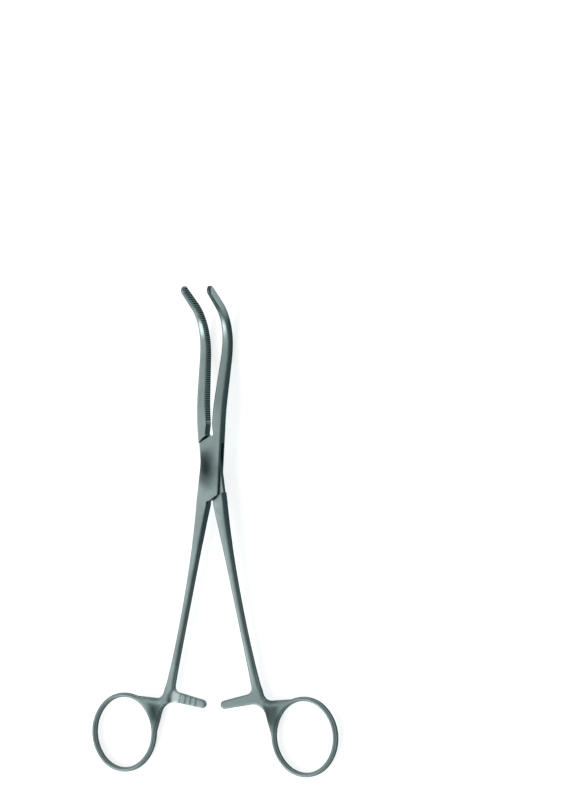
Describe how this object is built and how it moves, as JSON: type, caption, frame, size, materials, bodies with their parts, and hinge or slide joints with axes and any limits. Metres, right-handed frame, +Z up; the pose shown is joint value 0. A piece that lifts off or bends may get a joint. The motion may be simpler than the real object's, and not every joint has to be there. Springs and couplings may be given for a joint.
{
  "type": "kidney clamp",
  "caption": "Long ring-handled surgical clamp with a box lock, S-curved serrated jaws and a finger ratchet, lying flat and slightly open.",
  "frame": {"origin": "centre of the bounding box at the height of the surface the clamp lies on", "axes": "+Y along the clamp from the finger rings to the jaw tips, +X to the right seen from the front, +Z up out of the front face"},
  "size_m": [0.1286, 0.2302, 0.0255],
  "materials": {
    "steel_box_half": "satin stainless steel",
    "steel_tongue_half": "satin stainless steel",
    "steel_pin": "ground flush with the lock, satin stainless steel"
  },
  "bodies": {
    "box_half": {"box_half": "steel_box_half", "box_lock_pin": "steel_pin"},
    "tongue_half": {"tongue_half": "steel_tongue_half"}
  },
  "joints": [
    {"name": "box_lock_hinge", "type": "hinge", "parent": "box_half", "child": "tongue_half", "pos_m": [0, 0.02973, 0.00675], "axis": [0, -0.0333, 0.9994], "range_deg": [-8, 52]}
  ]
}
